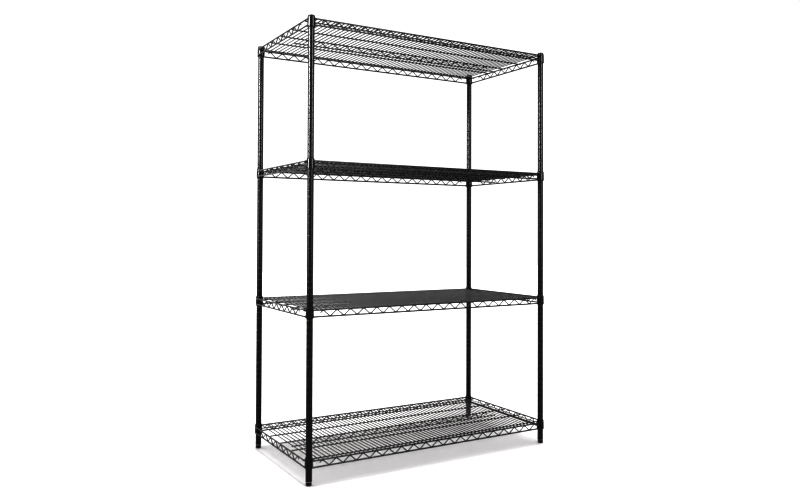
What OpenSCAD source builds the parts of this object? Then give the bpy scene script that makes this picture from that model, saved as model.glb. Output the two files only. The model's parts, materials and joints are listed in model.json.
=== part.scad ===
// Wire shelving rack: four grooved posts carry four welded wire shelves on tapered split sleeves.
// Millimetres. The origin is on the floor midway between the posts, +X runs along the long side,
// +Y to the rear and +Z up.

/* [Rack] */
// Length of a shelf over its frame wires
shelf_length = 1219.2; // [900:0.1:1500]
// Depth of a shelf over its frame wires
shelf_depth = 609.6; // [600:0.1:660]
// Height of the lowest shelf's bottom wires above the floor
lowest_shelf = 72; // [60:1:90]
// Grooves between one shelf and the next, the same for the two lower gaps
lower_gap_grooves = 23; // [6:1:23]
// Grooves between the third shelf and the top one
upper_gap_grooves = 22; // [6:1:22]

/* [Shelf wires] */
// Diameter of the top and bottom wires of the four outer trusses
frame_wire = 6; // [5:0.1:6.5]
// Diameter of the zigzag wire in every truss
zigzag_wire = 4; // [3:0.1:4.4]
// Diameter of the deck wires that run from front to rear
deck_wire = 4.2; // [3:0.1:4.6]
// Diameter of the lengthwise wires under the deck
support_wire = 5; // [4.5:0.1:5.6]
// Height of a truss between the centres of its top and bottom wires
truss_height = 25.4; // [24:0.1:28]
// Length of one full wave of a zigzag
zigzag_pitch = 60; // [56:1:66]
// Spacing of the deck wires
deck_pitch = 20; // [16:1:30]

/* [Posts] */
// Outer diameter of a post
post_outer = 25.4; // [25:0.1:25.6]
// Wall thickness of a post
post_wall = 1.6; // [1.4:0.1:2]
// Spacing of the grooves along a post, which is the step of shelf height
groove_pitch = 25.4; // [24:0.1:26]
// Distance of a post's centre inside the centres of the outer wires
post_inset = 16; // [15.5:0.1:16.5]

/* [Collars and sleeves] */
// Height of a shelf's corner collar
collar_height = 39; // [36:1:40]
// Wall thickness of a collar
collar_wall = 1.5; // [1.2:0.1:1.8]
// Outer radius of a sleeve at its wide lower end
sleeve_base_r = 15; // [14.8:0.1:15.2]
// Outer radius of a sleeve at its narrow upper end
sleeve_tip_r = 14.1; // [13.9:0.1:14.3]

/* [Feet] */
// Height of a foot's hexagon, with the foot screwed right in
foot_height = 14.2; // [12:0.1:15]
// Width of a foot's hexagon across its flats
foot_flats = 22; // [20:0.5:22]
// Diameter of a foot's threaded stem
stem_outer = 8; // [7:0.5:9]

/* [Hidden] */
$fn = 64;
CORNERS = ["front_left", "front_right", "rear_left", "rear_right"];
LEVELS = [1, 2, 3, 4];
POST_PARTS = ["post", "post_cap", "foot_insert", "foot_stem", "foot_base"];
SHELF_PARTS = ["deck_wires", "support_wires", "centre_truss", "front_truss", "rear_truss",
    "left_truss", "right_truss", "collars", "left_sleeves", "right_sleeves"];

POWDER_BLACK = "#1b1b1d";
SLEEVE_BLACK = "#101012";
ZINC = "#b9bcc0";

// Welded wires run this far into each other.
weld_depth = 0.8;

// The centre planes of the outer trusses, and the posts inside them.
side_x = (shelf_length - frame_wire) / 2;
front_y = (shelf_depth - frame_wire) / 2;
post_x = side_x - post_inset;
post_y = front_y - post_inset;

// The outer wires end in the wall of a collar, this far short of its centre.
wire_stop = 8;
front_half = post_x - wire_stop;
side_half = post_y - wire_stop;

// Bottom wire of each shelf.
shelf_z = [
    lowest_shelf,
    lowest_shelf + lower_gap_grooves * groove_pitch,
    lowest_shelf + 2 * lower_gap_grooves * groove_pitch,
    lowest_shelf + (2 * lower_gap_grooves + upper_gap_grooves) * groove_pitch];

// The lengthwise wires carry the deck wires, whose centres are level with the top frame wires.
support_z = truss_height - (deck_wire + support_wire) / 2 + weld_depth / 2;
support_y = [front_y - 40, front_y - 180];
centre_half = side_x - 61;
deck_half = front_y - frame_wire / 2 + weld_depth;
deck_clear = front_half - deck_pitch / 2;
deck_count = floor(deck_clear / deck_pitch) + 1;

// Heights in the shelf's own frame, whose zero is the bottom wire's centre.
collar_low = -5;
collar_high = collar_low + collar_height;
sleeve_low = collar_low - 3;
sleeve_high = collar_high + 3;
sleeve_lip = 2;
rib_z = truss_height / 2;
bore_clear = 0.15;

// The tube, its grooves and its end pieces.
post_r = post_outer / 2;
tube_r = post_r - post_wall;
post_low = foot_height + 1.8;
post_high = shelf_z[3] + collar_high + 5;
groove_depth = 0.8;
groove_half = 1.4;
groove_floor = 0.6;
groove_low = lowest_shelf + rib_z - 2 * groove_pitch;
groove_count = floor((post_high - 12 - groove_low) / groove_pitch) + 1;
fit_clear = 0.06;
press = 0.05;
cap_flange = 1.2;
cap_rise = 1.8;
cap_stem = 16;
insert_flange = 1.5;
insert_length = 24;
stem_low = 6;
stem_length = 38;

// Outer radius of a sleeve at a height in the shelf's frame.
function sleeve_r(z) = sleeve_base_r
    + (sleeve_tip_r - sleeve_base_r) * (z - sleeve_low) / (sleeve_high - sleeve_low);

// Place of a corner: +1 or -1 along X and Y.
function corner_sign(corner) = [corner % 2 == 0 ? -1 : 1, corner < 2 ? -1 : 1];

module at_corner(corner) {
    place = corner_sign(corner);
    translate([place.x * post_x, place.y * post_y, 0]) children();
}

module at_corners() {
    for (corner = [0:3])
        at_corner(corner) children();
}

// ---- Posts and feet ----

// Rolled steel tube with a groove all round at every step of height.
module post() {
    grooves = [for (step = [0:groove_count - 1])
        let (z = groove_low + step * groove_pitch)
        each [
            [post_r, z - groove_half],
            [post_r - groove_depth, z - groove_floor],
            [post_r - groove_depth, z + groove_floor],
            [post_r, z + groove_half]]];
    color(POWDER_BLACK)
    rotate_extrude()
        polygon(concat(
            [[tube_r, post_low], [post_r, post_low]],
            grooves,
            [[post_r, post_high], [tube_r, post_high]]));
}

// Plastic plug with a domed head that closes the top of a post.
module post_cap() {
    head_r = post_r + 0.5;
    dome_r = (head_r * head_r + cap_rise * cap_rise) / (2 * cap_rise);
    color(SLEEVE_BLACK)
    translate([0, 0, post_high]) {
        cylinder(r = head_r, h = cap_flange);
        translate([0, 0, cap_flange])
            intersection() {
                translate([0, 0, cap_rise - dome_r]) sphere(r = dome_r, $fn = 128);
                cylinder(r = head_r, h = cap_rise + 1);
            }
        translate([0, 0, -cap_stem])
            difference() {
                cylinder(r = tube_r + press, h = cap_stem + cap_flange / 2);
                translate([0, 0, -1]) cylinder(r = tube_r - 2, h = cap_stem);
            }
    }
}

// Flanged threaded socket pressed into the bottom of a post.
module foot_insert() {
    color(ZINC)
    translate([0, 0, post_low])
        difference() {
            union() {
                cylinder(r = tube_r + press, h = insert_length);
                translate([0, 0, -insert_flange]) cylinder(r = post_r - 0.3, h = insert_flange);
            }
            translate([0, 0, -insert_flange - 1])
                cylinder(r = stem_outer / 2 + fit_clear, h = insert_length + insert_flange + 2);
        }
}

// Threaded stem of a levelling foot, drawn at its outer diameter.
module foot_stem() {
    tip = 1;
    color(ZINC)
    translate([0, 0, stem_low]) {
        cylinder(d = stem_outer, h = stem_length - tip);
        translate([0, 0, stem_length - tip])
            cylinder(d1 = stem_outer, d2 = stem_outer - 2 * tip, h = tip);
    }
}

// Hexagonal foot with a chamfered top and a rounded sole.
module foot_base() {
    corner_r = foot_flats / sqrt(3);
    sole_r = 9;
    color(POWDER_BLACK)
    difference() {
        intersection() {
            cylinder(r = corner_r, h = foot_height, $fn = 6);
            rotate_extrude()
                polygon([
                    [0, 0], [sole_r, 0], [corner_r - 1.8, 1.8], [corner_r - 0.4, 4.6], [corner_r, 7],
                    [corner_r, foot_height - 1], [corner_r - 1.6, foot_height], [0, foot_height]]);
        }
        translate([0, 0, stem_low - fit_clear])
            cylinder(r = stem_outer / 2 + fit_clear, h = foot_height);
    }
}

// ---- Shelves: every module below is drawn in the shelf's own frame ----

// A straight wire along X, centred on the YZ plane.
module wire_x(half, thick, z) {
    translate([0, 0, z])
        rotate([0, 90, 0]) cylinder(d = thick, h = 2 * half, center = true);
}

// A straight wire in the XZ plane from one [x, z] point to another.
module leg(from, to, thick) {
    run = to - from;
    translate([from.x, 0, from.y])
        rotate([0, atan2(run.x, run.y), 0]) cylinder(d = thick, h = norm(run), $fn = 24);
}

// The zigzag of a truss: bends meet the centres of both wires, the last ones at the top wire,
// and a short tail runs on down from each.
module zigzag(half, low, high, bend_at_centre) {
    lead = 30;
    shift = bend_at_centre ? 0 : zigzag_pitch / 2;
    last = 2 * floor((half - lead - shift) / zigzag_pitch) + (bend_at_centre ? 0 : 1);
    bends = [for (k = [-last:last])
        [k * zigzag_pitch / 2, (abs(k) % 2 == last % 2) ? high : low]];
    tail = 0.4 * [zigzag_pitch / 2, low - high];
    for (k = [0:2 * last - 1])
        leg(bends[k], bends[k + 1], zigzag_wire);
    for (side = [-1, 1])
        leg([side * last * zigzag_pitch / 2, high],
            [side * (last * zigzag_pitch / 2 + tail.x), high + tail.y], zigzag_wire);
}

// An outer truss along X: top wire, bottom wire and zigzag.
module outer_truss(half, bend_at_centre) {
    color(POWDER_BLACK)
    union() {
        wire_x(half, frame_wire, 0);
        wire_x(half, frame_wire, truss_height);
        zigzag(half, 0, truss_height, bend_at_centre);
    }
}

module front_truss() {
    translate([0, -front_y, 0]) outer_truss(front_half, true);
}

module rear_truss() {
    translate([0, front_y, 0]) outer_truss(front_half, true);
}

module left_truss() {
    translate([-side_x, 0, 0]) rotate([0, 0, 90]) outer_truss(side_half, false);
}

module right_truss() {
    translate([side_x, 0, 0]) rotate([0, 0, 90]) outer_truss(side_half, false);
}

// The middle truss: its top wire lies under the deck, and its bottom wire stops short.
module centre_truss() {
    color(POWDER_BLACK)
    union() {
        wire_x(side_x, support_wire, support_z);
        wire_x(centre_half, support_wire, 0);
        zigzag(centre_half, 0, support_z, true);
    }
}

module support_wires() {
    color(POWDER_BLACK)
    for (y = support_y, side = [-1, 1])
        translate([0, side * y, 0]) wire_x(side_x, support_wire, support_z);
}

module deck_wires() {
    color(POWDER_BLACK)
    for (k = [0:deck_count - 1], side = [-1, 1])
        translate([side * (k + 0.5) * deck_pitch, 0, truss_height])
            rotate([90, 0, 0]) cylinder(d = deck_wire, h = 2 * deck_half, center = true, $fn = 24);
}

// Tapered steel collars that drop over the sleeves, one at each corner.
module collars() {
    low_r = sleeve_r(collar_low) + bore_clear;
    high_r = sleeve_r(collar_high) + bore_clear;
    color(POWDER_BLACK)
    at_corners()
        rotate_extrude()
            polygon([
                [low_r, collar_low], [low_r + collar_wall, collar_low],
                [high_r + collar_wall, collar_high], [high_r, collar_high]]);
}

// Half of a sleeve: a tapered shell with a rib that clips into a groove of the post.
module sleeve_half() {
    inner_r = post_r + fit_clear;
    rib_r = inner_r - groove_depth;
    split = 2;
    color(SLEEVE_BLACK)
    rotate([0, 0, split])
        rotate_extrude(angle = 180 - 2 * split)
            polygon([
                [inner_r, sleeve_low],
                [inner_r + 0.7, sleeve_low],
                [sleeve_r(sleeve_low + sleeve_lip), sleeve_low + sleeve_lip],
                [sleeve_tip_r, sleeve_high],
                [inner_r, sleeve_high],
                [inner_r, rib_z + groove_half - fit_clear],
                [rib_r, rib_z + groove_floor - fit_clear],
                [rib_r, rib_z - groove_floor + fit_clear],
                [inner_r, rib_z - groove_half + fit_clear]]);
}

// The split sleeves of a shelf's two left or two right corners, two halves on each post.
module sleeves(corners) {
    for (corner = corners)
        at_corner(corner)
            for (turn = [0, 180])
                rotate([0, 0, turn]) sleeve_half();
}

module left_sleeves() {
    sleeves([0, 2]);
}

module right_sleeves() {
    sleeves([1, 3]);
}

for (corner = [0:3])
    at_corner(corner) {
        post();
        post_cap();
        foot_insert();
        foot_stem();
        foot_base();
    }

for (level = LEVELS)
    translate([0, 0, shelf_z[level - 1]]) {
        deck_wires();
        support_wires();
        centre_truss();
        front_truss();
        rear_truss();
        left_truss();
        right_truss();
        collars();
        left_sleeves();
        right_sleeves();
    }
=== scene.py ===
"""Wire shelving rack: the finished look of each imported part, with its materials, lights and camera.

Lengths are in metres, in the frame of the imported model: the floor centre between the posts is the
origin, +X runs along the long side, +Y to the rear and +Z up.
"""
import json
import math

import bpy
from mathutils import Matrix, Vector


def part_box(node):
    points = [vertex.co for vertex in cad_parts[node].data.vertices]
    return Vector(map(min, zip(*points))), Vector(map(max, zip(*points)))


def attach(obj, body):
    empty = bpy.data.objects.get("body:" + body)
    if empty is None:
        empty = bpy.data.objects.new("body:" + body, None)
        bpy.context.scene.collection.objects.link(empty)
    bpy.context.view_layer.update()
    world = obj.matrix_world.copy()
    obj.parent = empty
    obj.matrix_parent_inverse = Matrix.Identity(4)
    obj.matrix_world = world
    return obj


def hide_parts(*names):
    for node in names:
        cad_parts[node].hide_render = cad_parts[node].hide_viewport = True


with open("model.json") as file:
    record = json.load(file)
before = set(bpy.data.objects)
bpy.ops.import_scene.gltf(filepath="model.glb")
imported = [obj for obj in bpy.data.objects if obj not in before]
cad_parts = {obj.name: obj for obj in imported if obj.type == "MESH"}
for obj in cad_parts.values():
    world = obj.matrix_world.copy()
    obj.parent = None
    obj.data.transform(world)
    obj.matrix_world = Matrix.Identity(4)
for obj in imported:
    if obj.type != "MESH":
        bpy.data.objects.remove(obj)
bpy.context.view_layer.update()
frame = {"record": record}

LEVELS = (1, 2, 3, 4)
CORNERS = ("front_left", "front_right", "rear_left", "rear_right")

MM = 0.001

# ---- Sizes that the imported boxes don't give ----
# Wires of the shelves.
FRAME_R = 0.003
ZIGZAG_R = 0.002
DECK_R = 0.0021
SUPPORT_R = 0.0025
TRUSS_HEIGHT = 0.0254
ZIGZAG_PITCH = 0.060
ZIGZAG_BEND_R = 0.008
# The least length from the last bend to the end of the truss's own wires.
ZIGZAG_LEAD = 0.030
# The share of a half pitch that the wire runs on past its last bend.
ZIGZAG_TAIL = 0.4
DECK_PITCH = 0.020
SUPPORT_STEP = 0.140
# How far the centre truss's bottom wire stops short of each side truss.
CENTRE_TRUSS_SHORT = 0.061
# A cut wire's end narrows to this share of its radius, over this share of its radius.
END_NARROW = 0.72
END_CUT = 0.3
# The share of a row that is left off each end of a weld nugget.
NUGGET_TRIM = 0.35

# Posts, caps and sleeves.
GROOVE_PITCH = 0.0254
GROOVE_DEPTH = 0.0004
GROOVE_HALF = 0.0012
# Where a groove's outline has points, in half widths from its middle.
GROOVE_STEPS = (-1.4, -1, -0.62, -0.3, 0, 0.3, 0.62, 1, 1.4)
# The length at the top of a post where no groove starts.
GROOVE_FREE_TOP = 0.012
POST_WALL = 0.0016
POST_EDGE = 0.0004
CAP_RIM = 0.0009
CAP_WALL = 0.002
# The radius where an outline stops next to its own axis.
AXIS_R = 0.0001
SLEEVE_BASE_R = 0.015
SLEEVE_TIP_R = 0.0141
SLEEVE_PANEL = 0.0005
# The gap in degrees on each side of a sleeve half.
SLEEVE_SPLIT = 2
LIP_HEIGHT = 0.002
LIP_WALL = 0.0007
# The sunk panel's reach, as shares of the way round a half and up it.
PANEL_ROUND = (0.12, 0.88)
PANEL_UP = (0.22, 0.82)
RIB_DEPTH = 0.0003
RIB_HALF = 0.0005
RIB_FOOT_HALF = 0.0013
# The arrow's outline in millimetres, as (to the side, up from the sleeve's lower edge).
ARROW = ((-0.8, 14), (0.8, 14), (0.8, 20), (2.4, 20), (0, 25), (-2.4, 20), (-0.8, 20))
# The arrow's foot is this far under the panel, and its face this far under the sleeve's surface.
ARROW_ROOT = 0.0001
ARROW_FACE = 0.00005

# Collars.
COLLAR_TAPER = 0.00078
COLLAR_WALL = 0.0015
COLLAR_EDGE = 0.0006
COLLAR_INNER_STEP = 0.0002

# Feet.
FIT_GAP = 0.00006
THREAD_PITCH = 0.0015
THREAD_DEPTH = 0.0009
# Shares of half a pitch: the thread's flat crest, and the flank down to its root.
THREAD_CREST = 0.12
THREAD_FLANK = 0.70
THREAD_ROWS = 10
STEM_CHAMFER = 0.0009
SOLE_R = 0.009
SOLE_EDGE = 0.0046
HEX_CHAMFER = 0.0016
HEX_CHAMFER_HEIGHT = 0.001
BORE_CHAMFER = 0.0006

# ---- Stage ----
FLOOR_HALF = 14
FLOOR_COLOUR = (0.925, 0.913, 0.917, 1)
CAMERA_PLACE = (-1.7466, -2.9220, 0.9894)
# Radians: to the right of +Y, upwards, and about the view's own axis.
CAMERA_TURNS = (0.5277, 0.0167, 0.0038)
# Name, place, target, width, height and radiance of each softbox.
PANELS = (
    ("left_strip", (-2.9, -0.35, 2.25), (-0.59, -0.29, 1.6), 0.45, 1.5, 64),
    ("left_lower_strip", (-2.9, -0.3, 1.1), (-0.59, -0.29, 1.1), 0.5, 0.8, 9),
    ("right_panel", (0.8, -2.9, 2.2), (0.0, -0.29, 1.6), 1.1, 1.5, 11),
    ("right_lower_panel", (0.8, -2.9, 1.1), (0.0, -0.29, 1.0), 1.1, 0.7, 3),
    ("rear_sweep", (1.0, 4.2, 2.25), (0, 0, 1.2), 8.0, 4.4, 1.1),
)
# The share of a noise's values that a colour ramp and a roughness spread over.
COLOUR_SPAN = (0.35, 0.65)
ROUGHNESS_SPAN = (0.3, 0.7)

bodies = frame["record"]["behaviour"]["bodies"]
BODY_OF = {node: body for body, nodes in bodies.items() for node in nodes}
SLOT_OF = {part["node"]: part["material_slot"] for part in frame["record"]["subparts"]}


# ---- Reading places from the frame ----

def centre(node):
    """The middle of a CAD node's box."""
    low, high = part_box(node)
    return (low + high) / 2


def size(node):
    """The lengths of a CAD node's box."""
    low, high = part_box(node)
    return high - low


SIDE_X = centre("shelf_1_right_truss").x
FRONT_Y = centre("shelf_1_rear_truss").y
FRONT_HALF = size("shelf_1_front_truss").x / 2
SIDE_HALF = size("shelf_1_right_truss").y / 2
POST_X = centre("post_front_right").x
POST_Y = centre("post_rear_right").y
POST_R = size("post_front_right").x / 2
SHELF_Z = {level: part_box(f"shelf_{level}_front_truss")[0].z + FRAME_R for level in LEVELS}
SUPPORT_Z = centre("shelf_1_support_wires").z - SHELF_Z[1]
SUPPORT_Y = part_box("shelf_1_support_wires")[1].y - SUPPORT_R
RIB_Z = TRUSS_HEIGHT / 2


# ---- Mesh building ----

class Shape:
    """Vertices and faces of one piece, gathered before they become a mesh."""

    def __init__(self):
        self.points = []
        self.faces = []

    def join(self, rings, bands):
        """Adds rings of equal length, with that many bands of quads, each from a ring to the next."""
        start = len(self.points)
        count = len(rings[0])
        for ring in rings:
            self.points.extend(ring)
        for row in range(bands):
            a = start + row * count
            b = start + (row + 1) % len(rings) * count
            for k in range(count):
                nxt = (k + 1) % count
                self.faces.append((a + k, a + nxt, b + nxt, b + k))
        return start

    def skin(self, rings):
        """Joins rings as a tube and closes both ends with a face."""
        start = self.join(rings, len(rings) - 1)
        count = len(rings[0])
        last = len(self.points) - count
        self.faces.append(tuple(range(start + count - 1, start - 1, -1)))
        self.faces.append(tuple(range(last, last + count)))

    def loop_skin(self, rings):
        """Joins rings, and the last back to the first, as a torus."""
        self.join(rings, len(rings))

    def wire(self, path, radius, across, sides=12):
        """A round wire along a flat path. across is the unit normal of the path's plane."""
        path, radii = soft_ends(path, radius)
        rings = []
        for k, point in enumerate(path):
            ahead = path[min(k + 1, len(path) - 1)]
            behind = path[max(k - 1, 0)]
            other = (ahead - behind).normalized().cross(across)
            rings.append([
                point + radii[k] * (math.cos(turn) * across + math.sin(turn) * other)
                for turn in turns(sides)])
        self.skin(rings)

    def revolve(self, outline, middle, segments=48):
        """A solid of revolution about the vertical through middle, from a closed (radius, z) outline."""
        self.loop_skin([
            [middle + Vector((r * math.cos(turn), r * math.sin(turn), z)) for r, z in outline]
            for turn in turns(segments)])

    def nugget(self, middle, reach, sides=8, rows=4):
        """A small ellipsoid of weld. reach holds its three half lengths."""
        rings = []
        for row in range(rows + 1):
            tilt = math.pi * (row + NUGGET_TRIM) / (rows + 2 * NUGGET_TRIM)
            rings.append([
                middle + Vector((
                    reach[0] * math.sin(tilt) * math.cos(turn),
                    reach[1] * math.sin(tilt) * math.sin(turn),
                    -reach[2] * math.cos(tilt)))
                for turn in turns(sides)])
        self.skin(rings)

    def make(self, node, sharp_angle=40):
        """Makes the object that stands for a CAD node, riding on the node's body."""
        name = node + "_model"
        mesh = bpy.data.meshes.new(name)
        mesh.from_pydata([tuple(point) for point in self.points], [], self.faces)
        mesh.update()
        mesh.polygons.foreach_set("use_smooth", [True] * len(mesh.polygons))
        mesh.set_sharp_from_angle(angle=math.radians(sharp_angle))
        mesh.materials.append(MATERIALS[SLOT_OF[node]])
        piece = bpy.data.objects.new(name, mesh)
        bpy.context.scene.collection.objects.link(piece)
        shading = piece.modifiers.new("even_shading", "WEIGHTED_NORMAL")
        shading.keep_sharp = True
        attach(piece, BODY_OF[node])
        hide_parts(node)


def turns(count):
    """Evenly spaced angles round a full turn, in radians."""
    return [2 * math.pi * k / count for k in range(count)]


def soft_ends(path, radius):
    """The path and its radii with the sheared edge of each end rounded off."""
    start = (path[1] - path[0]).normalized()
    end = (path[-1] - path[-2]).normalized()
    cut = END_CUT * radius
    points = [path[0], path[0] + cut * start] + path[1:-1] + [path[-1] - cut * end, path[-1]]
    radii = [END_NARROW * radius] + [radius] * (len(points) - 2) + [END_NARROW * radius]
    return points, radii


def rounded(corners, bend_r, steps=6):
    """A path through (along, up) corners, with each inner corner rounded to bend_r."""
    path = [corners[0]]
    for k in range(1, len(corners) - 1):
        into = (corners[k] - corners[k - 1]).normalized()
        out = (corners[k + 1] - corners[k]).normalized()
        turn = into.angle_signed(out)
        reach = bend_r * math.tan(abs(turn) / 2)
        inward = (out - into).normalized()
        hub = corners[k] + inward * bend_r / math.cos(turn / 2)
        first = corners[k] - into * reach - hub
        for step in range(steps + 1):
            part = Matrix.Rotation(-turn * step / steps, 2)
            path.append(hub + part @ first)
    path.append(corners[-1])
    return path


def arc(middle_r, middle_z, radius, start, end, steps=4):
    """Points of an arc in an (r, z) outline, with angles in degrees."""
    return [
        (middle_r + radius * math.cos(math.radians(start + (end - start) * k / steps)),
         middle_z + radius * math.sin(math.radians(start + (end - start) * k / steps)))
        for k in range(steps + 1)]


# ---- Materials ----

class Nodes:
    """A short way to build a Principled material from procedural nodes."""

    def __init__(self, name, **values):
        self.material = bpy.data.materials.new(name)
        self.material.use_nodes = True
        self.tree = self.material.node_tree
        self.shader = self.tree.nodes["Principled BSDF"]
        for socket, value in values.items():
            self.shader.inputs[socket.replace("_", " ")].default_value = value
        self.place = self.tree.nodes.new("ShaderNodeTexCoord").outputs["Object"]

    def noise(self, scale, detail, stretch=None):
        """A noise over the object. stretch scales its three directions."""
        source = self.place
        if stretch:
            mapping = self.tree.nodes.new("ShaderNodeMapping")
            mapping.inputs["Scale"].default_value = stretch
            self.tree.links.new(source, mapping.inputs["Vector"])
            source = mapping.outputs["Vector"]
        node = self.tree.nodes.new("ShaderNodeTexNoise")
        node.inputs["Scale"].default_value = scale
        node.inputs["Detail"].default_value = detail
        self.tree.links.new(source, node.inputs["Vector"])
        return node.outputs["Fac"]

    def colour(self, factor, dark, light):
        """Spreads the base colour from dark to light over a factor."""
        ramp = self.tree.nodes.new("ShaderNodeValToRGB")
        ramp.color_ramp.elements[0].position = COLOUR_SPAN[0]
        ramp.color_ramp.elements[0].color = (*dark, 1)
        ramp.color_ramp.elements[1].position = COLOUR_SPAN[1]
        ramp.color_ramp.elements[1].color = (*light, 1)
        self.tree.links.new(factor, ramp.inputs["Fac"])
        self.tree.links.new(ramp.outputs["Color"], self.shader.inputs["Base Color"])

    def roughness(self, factor, low, high):
        """Spreads the roughness from low to high over a factor."""
        spread = self.tree.nodes.new("ShaderNodeMapRange")
        spread.inputs["From Min"].default_value = ROUGHNESS_SPAN[0]
        spread.inputs["From Max"].default_value = ROUGHNESS_SPAN[1]
        spread.inputs["To Min"].default_value = low
        spread.inputs["To Max"].default_value = high
        self.tree.links.new(factor, spread.inputs["Value"])
        self.tree.links.new(spread.outputs["Result"], self.shader.inputs["Roughness"])

    def bump(self, factor, strength, height):
        """Bumps the surface by a factor, up to a height in metres."""
        bump = self.tree.nodes.new("ShaderNodeBump")
        bump.inputs["Strength"].default_value = strength
        bump.inputs["Distance"].default_value = height
        self.tree.links.new(factor, bump.inputs["Height"])
        self.tree.links.new(bump.outputs["Normal"], self.shader.inputs["Normal"])


def powder_coat():
    """Black epoxy powder over steel: glossy, with a faint orange peel."""
    nodes = Nodes("black_powder_coat", Coat_Weight=0.3, Coat_Roughness=0.07)
    nodes.colour(nodes.noise(26, 3), (0.0062, 0.0058, 0.0056), (0.0108, 0.0102, 0.0099))
    nodes.roughness(nodes.noise(110, 2), 0.17, 0.26)
    nodes.bump(nodes.noise(620, 2), 0.10, 0.0003)
    return nodes.material


def black_plastic():
    """Moulded nylon of the sleeves and caps."""
    nodes = Nodes("black_nylon")
    nodes.colour(nodes.noise(60, 3), (0.007, 0.007, 0.0075), (0.012, 0.012, 0.0125))
    nodes.roughness(nodes.noise(240, 2), 0.40, 0.52)
    nodes.bump(nodes.noise(1600, 3), 0.18, 0.0002)
    return nodes.material


def zinc_plate():
    """Zinc-plated steel of the foot's socket and stem."""
    nodes = Nodes("zinc_plate", Metallic=1.0)
    nodes.colour(nodes.noise(140, 4), (0.44, 0.45, 0.47), (0.60, 0.61, 0.62))
    nodes.roughness(nodes.noise(420, 3, stretch=(1, 1, 0.2)), 0.24, 0.42)
    nodes.bump(nodes.noise(900, 2), 0.08, 0.0002)
    return nodes.material


MATERIALS = {
    "powder_coat": powder_coat(),
    "black_plastic": black_plastic(),
    "zinc_plate": zinc_plate(),
}


# ---- Posts and feet ----

def post(corner):
    """Rolled tube with a soft-edged groove every GROOVE_PITCH."""
    node = f"post_{corner}"
    low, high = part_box(node)
    shape = Shape()
    edge = POST_EDGE
    inner = POST_R - POST_WALL
    outline = [(inner, low.z)] + arc(POST_R - edge, low.z + edge, edge, -90, 0)
    z = SHELF_Z[1] + RIB_Z - 2 * GROOVE_PITCH
    while z < high.z - GROOVE_FREE_TOP:
        for step in GROOVE_STEPS:
            dip = GROOVE_DEPTH * (0.5 + 0.5 * math.cos(math.pi * min(1, abs(step))))
            outline.append((POST_R - dip, z + step * GROOVE_HALF))
        z += GROOVE_PITCH
    outline += arc(POST_R - edge, high.z - edge, edge, 0, 90) + [(inner, high.z)]
    middle = centre(node)
    middle.z = 0
    shape.revolve(outline, middle, 40)
    shape.make(node, 60)


def post_cap(corner):
    """Domed plug with a rounded rim."""
    node = f"post_cap_{corner}"
    low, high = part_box(node)
    middle = centre(node)
    middle.z = 0
    head_r = size(node).x / 2
    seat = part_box(f"post_{corner}")[1].z
    rim = CAP_RIM
    rise = high.z - seat - 2 * rim
    dome_r = (head_r * head_r + rise * rise) / (2 * rise)
    dome = []
    steps = 8
    for step in range(steps + 1):
        r = (head_r - rim) * (1 - step / steps)
        dome.append((r, high.z - dome_r + math.sqrt(dome_r * dome_r - r * r)))
    stem_r = POST_R - POST_WALL
    hollow_r = stem_r - CAP_WALL
    outline = [(AXIS_R, seat), (hollow_r, seat), (hollow_r, low.z), (stem_r, low.z), (stem_r, seat)]
    outline += arc(head_r - rim, seat + rim, rim, -90, 0, 5)
    outline += arc(head_r - rim, seat + rim, rim, 15, 60, 3)
    outline += dome[:-1] + [(AXIS_R, high.z)]
    shape = Shape()
    shape.revolve(outline, middle)
    shape.make(node, 35)


def foot_insert(corner):
    """Flanged socket with a rounded flange."""
    node = f"foot_insert_{corner}"
    low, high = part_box(node)
    middle = centre(node)
    middle.z = 0
    flange_r = size(node).x / 2
    barrel_r = POST_R - POST_WALL
    bore_r = size(f"foot_stem_{corner}").x / 2 + FIT_GAP
    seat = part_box(f"post_{corner}")[0].z
    edge = POST_EDGE
    outline = [(bore_r + edge, low.z)]
    outline += arc(flange_r - edge, low.z + edge, edge, -90, 0)
    outline += arc(flange_r - edge, seat - edge, edge, 0, 90)
    outline += [(barrel_r, seat), (barrel_r, high.z - edge), (barrel_r - edge, high.z)]
    outline += [(bore_r, high.z), (bore_r, low.z + edge)]
    shape = Shape()
    shape.revolve(outline, middle)
    shape.make(node, 35)


def foot_stem(corner):
    """Threaded rod: the radius follows a helix of the thread's pitch."""
    node = f"foot_stem_{corner}"
    low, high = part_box(node)
    middle = centre(node)
    outer_r = size(node).x / 2
    rows = round((high.z - low.z) / THREAD_PITCH * THREAD_ROWS)
    shape = Shape()
    rings = []
    for row in range(rows + 1):
        z = low.z + (high.z - low.z) * row / rows
        end = min(z - low.z, high.z - z)
        chamfer = max(0.0, STEM_CHAMFER - end)
        ring = []
        for turn in turns(32):
            phase = (z / THREAD_PITCH - turn / (2 * math.pi)) % 1
            fall = (abs(phase - 0.5) * 2 - THREAD_CREST) / THREAD_FLANK
            depth = THREAD_DEPTH * min(1, max(0, fall))
            r = min(outer_r - depth, outer_r - chamfer)
            ring.append(Vector((middle.x + r * math.cos(turn), middle.y + r * math.sin(turn), z)))
        rings.append(ring)
    shape.skin(rings)
    shape.make(node, 50)


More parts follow.
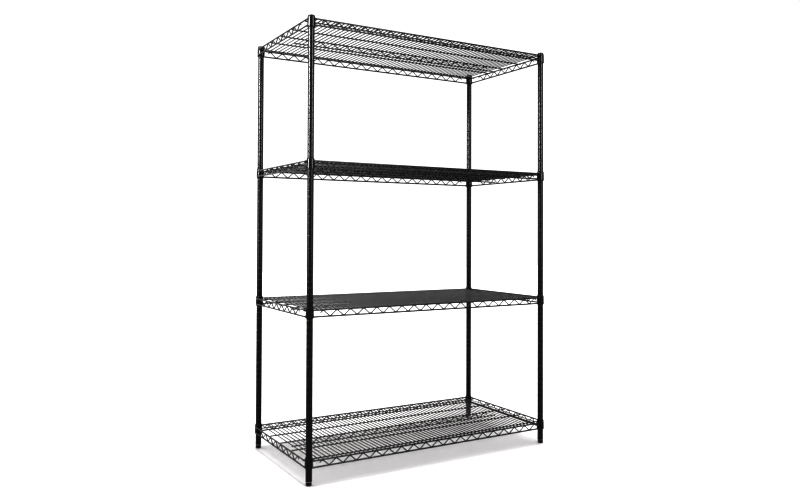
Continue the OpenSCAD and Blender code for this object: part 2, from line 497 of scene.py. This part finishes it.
def foot_base(corner):
    """Hexagon with a turned chamfer on top and a rounded sole."""
    node = f"foot_base_{corner}"
    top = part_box(node)[1].z
    middle = centre(node)
    flat_r = size(node).y / 2
    corner_r = flat_r / math.cos(math.pi / 6)
    bore_r = size(f"foot_stem_{corner}").x / 2 + FIT_GAP
    bore_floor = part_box(f"foot_stem_{corner}")[0].z
    outline = [(SOLE_R * 0.5, 0), (SOLE_R, 0)]
    outline += arc(corner_r - SOLE_EDGE, SOLE_EDGE, SOLE_EDGE, -70, 0, 7)
    outline += [(corner_r, z * MM) for z in (6, 8, 10, 12)]
    for k in range(7):
        z = top - HEX_CHAMFER_HEIGHT + HEX_CHAMFER_HEIGHT * k / 6
        outline.append((corner_r - HEX_CHAMFER * k / 6, z))
    outline += [(flat_r * 0.8, top), (bore_r + BORE_CHAMFER, top)]
    outline += [(bore_r, top - BORE_CHAMFER), (bore_r, bore_floor)]
    rings = []
    for r, z in outline:
        ring = []
        for turn in turns(96):
            across = flat_r / math.cos((turn % (math.pi / 3)) - math.pi / 6)
            reach = min(r, across)
            ring.append(Vector((middle.x + reach * math.cos(turn), middle.y + reach * math.sin(turn), z)))
        rings.append(ring)
    shape = Shape()
    shape.skin(rings)
    shape.make(node, 25)


# ---- Shelves: shapes are laid out about a shelf's bottom wires and lifted to its level ----

def lifted(level, x, y, z):
    """A place laid out about the bottom wires, at the shelf's own level."""
    return Vector((x, y, z + SHELF_Z[level]))


def zigzag_corners(half, low, high, bend_at_centre):
    """The corners of a truss's zigzag as (along, up), the last bends at the top wire."""
    shift = 0 if bend_at_centre else ZIGZAG_PITCH / 2
    last = 2 * math.floor((half - ZIGZAG_LEAD - shift) / ZIGZAG_PITCH) + (0 if bend_at_centre else 1)
    step = ZIGZAG_PITCH / 2
    corners = [
        Vector((k * step, high if abs(k) % 2 == last % 2 else low)) for k in range(-last, last + 1)]
    tail = Vector((ZIGZAG_TAIL * step, ZIGZAG_TAIL * (low - high)))
    first = corners[0] + Vector((-tail.x, tail.y))
    return [first] + corners + [corners[-1] + tail]


def zigzag(shape, half, low, high, bend_at_centre, lay, across):
    """The bent wire and the welds that hold its bends. lay(along, up) places a point."""
    corners = zigzag_corners(half, low, high, bend_at_centre)
    path = [lay(p.x, p.y) for p in rounded(corners, ZIGZAG_BEND_R)]
    shape.wire(path, ZIGZAG_R, across)
    inset = 0.0026
    along, side, tall = 0.0052, 0.0026, 0.0022
    reach = (side, along, tall) if abs(across.x) > 0.5 else (along, side, tall)
    for corner in corners[1:-1]:
        up = corner.y + (inset if corner.y < (low + high) / 2 else -inset)
        shape.nugget(lay(corner.x, up), reach)


def outer_truss(node, level, half, bend_at_centre, place, along_x):
    """Top wire, bottom wire and zigzag. place is the truss's fixed coordinate."""
    if along_x:
        across = Vector((0, 1, 0))
        lay = lambda along, up: lifted(level, along, place, up)
    else:
        across = Vector((1, 0, 0))
        lay = lambda along, up: lifted(level, place, along, up)
    shape = Shape()
    for up in (0, TRUSS_HEIGHT):
        shape.wire([lay(-half, up), lay(half, up)], FRAME_R, across, 16)
    zigzag(shape, half, 0, TRUSS_HEIGHT, bend_at_centre, lay, across)
    shape.make(node)


def centre_truss(level):
    """The middle truss: its short bottom wire and its zigzag hang under a full-length wire."""
    shape = Shape()
    across = Vector((0, 1, 0))
    short = SIDE_X - CENTRE_TRUSS_SHORT
    lay = lambda along, up: lifted(level, along, 0, up)
    shape.wire([lay(-SIDE_X, SUPPORT_Z), lay(SIDE_X, SUPPORT_Z)], SUPPORT_R, across, 14)
    shape.wire([lay(-short, 0), lay(short, 0)], SUPPORT_R, across, 14)
    zigzag(shape, short, 0, SUPPORT_Z, True, lay, across)
    shape.make(f"shelf_{level}_centre_truss")


def support_rows():
    """The Y of each support wire."""
    return [side * (SUPPORT_Y - k * SUPPORT_STEP) for k in (0, 1) for side in (-1, 1)]


def support_wires(level):
    """Four lengthwise wires under the deck, welded under the top wires of the side trusses."""
    shape = Shape()
    for y in support_rows():
        path = [lifted(level, -SIDE_X, y, SUPPORT_Z), lifted(level, SIDE_X, y, SUPPORT_Z)]
        shape.wire(path, SUPPORT_R, Vector((0, 1, 0)), 14)
        for side in (-1, 1):
            weld = lifted(level, side * (SIDE_X - 0.0024), y, SUPPORT_Z + 0.0016)
            shape.nugget(weld, (0.0026, 0.0034, 0.0022))
    shape.make(f"shelf_{level}_support_wires")


def deck_wires(level):
    """The deck: a wire every DECK_PITCH, with a small weld at each wire it crosses or meets."""
    node = f"shelf_{level}_deck_wires"
    low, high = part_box(node)
    shape = Shape()
    last = high.x - DECK_R
    count = round(2 * last / DECK_PITCH) + 1
    weld_z = TRUSS_HEIGHT - DECK_R - 0.0001
    for k in range(count):
        x = -last + k * DECK_PITCH
        path = [lifted(level, x, low.y, TRUSS_HEIGHT), lifted(level, x, high.y, TRUSS_HEIGHT)]
        shape.wire(path, DECK_R, Vector((1, 0, 0)), 10)
        for y in support_rows() + [0]:
            shape.nugget(lifted(level, x, y, weld_z), (0.0027, 0.0026, 0.0009), 8, 3)
        for side in (-1, 1):
            weld = lifted(level, x, side * (FRONT_Y - FRAME_R), TRUSS_HEIGHT)
            shape.nugget(weld, (0.0025, 0.0014, 0.0023), 8, 3)
    shape.make(node)


def collar_welds(shape, level, x, y):
    """The welds on one collar: a top and a bottom wire of each of the two trusses that meet it."""
    set_in = 0.0115
    set_off = 0.0006
    along, side, tall = 0.0052, 0.0034, 0.0037
    out_x = math.copysign(SIDE_X, x) - math.copysign(set_off, x)
    out_y = math.copysign(FRONT_Y, y) - math.copysign(set_off, y)
    in_x = x - math.copysign(set_in, x)
    in_y = y - math.copysign(set_in, y)
    for up in (0, TRUSS_HEIGHT):
        shape.nugget(lifted(level, in_x, out_y, up), (along, side, tall), 12, 6)
        shape.nugget(lifted(level, out_x, in_y, up), (side, along, tall), 12, 6)


def collars(level):
    """Tapered collars with turned edges, and the weld of each truss wire that lands on them."""
    node = f"shelf_{level}_collars"
    low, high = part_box(node)
    base_r = high.x - POST_X
    tip_r = base_r - COLLAR_TAPER
    edge = COLLAR_EDGE
    outline = [(base_r - COLLAR_WALL, low.z + COLLAR_INNER_STEP)]
    outline += arc(base_r - edge, low.z + edge, edge, -90, 0)
    outline += arc(tip_r - edge, high.z - edge, edge, 0, 90)
    outline += [(tip_r - COLLAR_WALL, high.z - COLLAR_INNER_STEP)]
    shape = Shape()
    for x in (-POST_X, POST_X):
        for y in (-POST_Y, POST_Y):
            shape.revolve(outline, Vector((x, y, 0)))
            collar_welds(shape, level, x, y)
    shape.make(node)


def sleeve_arrow(shape, x, y, facing, low, height):
    """A raised arrow that shows which way up the sleeve goes, wrapped on the sunk panel."""
    rings = []
    for depth in (SLEEVE_PANEL + ARROW_ROOT, ARROW_FACE):
        ring = []
        for side, up in ARROW:
            r = SLEEVE_BASE_R - (SLEEVE_BASE_R - SLEEVE_TIP_R) * up * MM / height - depth
            angle = facing + side * MM / r
            ring.append(Vector((x + r * math.cos(angle), y + r * math.sin(angle), low + up * MM)))
        rings.append(ring)
    shape.skin(rings)


def sleeve_half(shape, level, x, y, start, low, high):
    """Half of a split sleeve: a tapered shell with a lip, a moulded panel and the inner rib."""
    inner_r = POST_R + FIT_GAP
    columns, rows = 40, 30
    height = high - low
    rib_z = SHELF_Z[level] + RIB_Z
    rings = []
    for column in range(columns + 1):
        part = column / columns
        angle = math.radians(start + SLEEVE_SPLIT + (180 - 2 * SLEEVE_SPLIT) * part)
        ring = []
        for row in range(rows + 1):
            z = low + height * row / rows
            r = SLEEVE_BASE_R + (SLEEVE_TIP_R - SLEEVE_BASE_R) * (z - low) / height
            lip = max(0.0, 1 - (z - low) / LIP_HEIGHT)
            r -= lip * (SLEEVE_BASE_R - inner_r - LIP_WALL)
            in_width = PANEL_ROUND[0] < part < PANEL_ROUND[1]
            in_height = PANEL_UP[0] < row / rows < PANEL_UP[1]
            r -= SLEEVE_PANEL if in_width and in_height else 0
            ring.append(Vector((x + r * math.cos(angle), y + r * math.sin(angle), z)))
        inner = [(inner_r, high), (inner_r, rib_z + RIB_FOOT_HALF)]
        inner += [(inner_r - RIB_DEPTH, rib_z + RIB_HALF), (inner_r - RIB_DEPTH, rib_z - RIB_HALF)]
        inner += [(inner_r, rib_z - RIB_FOOT_HALF), (inner_r, low)]
        for r, z in inner:
            ring.append(Vector((x + r * math.cos(angle), y + r * math.sin(angle), z)))
        rings.append(ring)
    shape.skin(rings)
    sleeve_arrow(shape, x, y, math.radians(start + 90), low, height)


def sleeves(level, side):
    """The two split sleeves at one end of a shelf."""
    node = f"shelf_{level}_{side}_sleeves"
    low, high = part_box(node)
    x = -POST_X if side == "left" else POST_X
    shape = Shape()
    for y in (-POST_Y, POST_Y):
        for start in (0, 180):
            sleeve_half(shape, level, x, y, start, low.z, high.z)
    shape.make(node, 35)


# ---- Floor, lights and camera ----

def aim(thing, target):
    """Turns a lamp to face a place."""
    thing.rotation_euler = (Vector(target) - thing.location).to_track_quat("-Z", "Y").to_euler()


def panel_light(name, place, target, width, height, radiance):
    """A rectangular softbox of the given brightness, seen only in reflections."""
    light = bpy.data.lights.new(name, "AREA")
    light.shape = "RECTANGLE"
    light.size = width
    light.size_y = height
    light.energy = radiance * math.pi * width * height
    lamp = bpy.data.objects.new(name, light)
    bpy.context.scene.collection.objects.link(lamp)
    lamp.location = place
    lamp.visible_diffuse = False
    lamp.visible_camera = False
    aim(lamp, target)


def overhead_light(irradiance, spread):
    """A soft sun from straight above. spread is its width in degrees."""
    light = bpy.data.lights.new("overhead", "SUN")
    light.energy = irradiance
    light.angle = math.radians(spread)
    lamp = bpy.data.objects.new("overhead", light)
    bpy.context.scene.collection.objects.link(lamp)


def backdrop(to_camera, to_diffuse, to_glossy):
    """A white background for the camera. Soft fill and reflections have their own levels."""
    world = bpy.data.worlds.new("studio")
    world.use_nodes = True
    tree = world.node_tree
    background = tree.nodes["Background"]
    background.inputs["Color"].default_value = (1, 1, 1, 1)
    rays = tree.nodes.new("ShaderNodeLightPath")
    wanted = {"Is Camera Ray": to_camera, "Is Diffuse Ray": to_diffuse, "Is Glossy Ray": to_glossy}
    levels = []
    for ray, level in wanted.items():
        scaled = tree.nodes.new("ShaderNodeMath")
        scaled.operation = "MULTIPLY"
        scaled.inputs[1].default_value = level
        tree.links.new(rays.outputs[ray], scaled.inputs[0])
        levels.append(scaled.outputs["Value"])
    total = levels[0]
    for level in levels[1:]:
        added = tree.nodes.new("ShaderNodeMath")
        added.operation = "ADD"
        tree.links.new(total, added.inputs[0])
        tree.links.new(level, added.inputs[1])
        total = added.outputs["Value"]
    tree.links.new(total, background.inputs["Strength"])
    bpy.context.scene.world = world


def floor():
    """A plain pale floor, wide enough to reach past every view."""
    half = FLOOR_HALF
    mesh = bpy.data.meshes.new("floor")
    edge_points = [(-half, -half, 0), (half, -half, 0), (half, half, 0), (-half, half, 0)]
    mesh.from_pydata(edge_points, [], [(0, 1, 2, 3)])
    material = bpy.data.materials.new("pale_floor")
    material.use_nodes = True
    shader = material.node_tree.nodes["Principled BSDF"]
    shader.inputs["Base Color"].default_value = FLOOR_COLOUR
    shader.inputs["Roughness"].default_value = 0.9
    shader.inputs["Specular IOR Level"].default_value = 0.0
    mesh.materials.append(material)
    plane = bpy.data.objects.new("floor", mesh)
    bpy.context.scene.collection.objects.link(plane)
    plane.visible_glossy = False


def camera():
    """The main view: about a metre up, off the front left corner."""
    data = bpy.data.cameras.new("camera")
    data.lens = 32.85
    data.sensor_width = 36
    data.shift_x = 0.0073
    data.shift_y = -0.0380
    data.clip_start = 0.05
    view = bpy.data.objects.new("camera", data)
    bpy.context.scene.collection.objects.link(view)
    yaw, pitch, roll = CAMERA_TURNS
    view.rotation_euler = (
        Matrix.Rotation(-yaw, 3, "Z")
        @ Matrix.Rotation(math.pi / 2 + pitch, 3, "X")
        @ Matrix.Rotation(roll, 3, "Z")).to_euler()
    view.location = CAMERA_PLACE
    bpy.context.scene.camera = view


# ---- The rack ----

for corner in CORNERS:
    post(corner)
    post_cap(corner)
    foot_insert(corner)
    foot_stem(corner)
    foot_base(corner)

for level in LEVELS:
    outer_truss(f"shelf_{level}_front_truss", level, FRONT_HALF, True, -FRONT_Y, True)
    outer_truss(f"shelf_{level}_rear_truss", level, FRONT_HALF, True, FRONT_Y, True)
    outer_truss(f"shelf_{level}_left_truss", level, SIDE_HALF, False, -SIDE_X, False)
    outer_truss(f"shelf_{level}_right_truss", level, SIDE_HALF, False, SIDE_X, False)
    centre_truss(level)
    support_wires(level)
    deck_wires(level)
    collars(level)
    sleeves(level, "left")
    sleeves(level, "right")

floor()
camera()
backdrop(to_camera=1.2, to_diffuse=1.06, to_glossy=0.7)
overhead_light(irradiance=1.7, spread=8)
for panel in PANELS:
    panel_light(*panel)
bpy.context.scene.view_settings.view_transform = "Standard"
bpy.context.scene.view_settings.gamma = 0.5
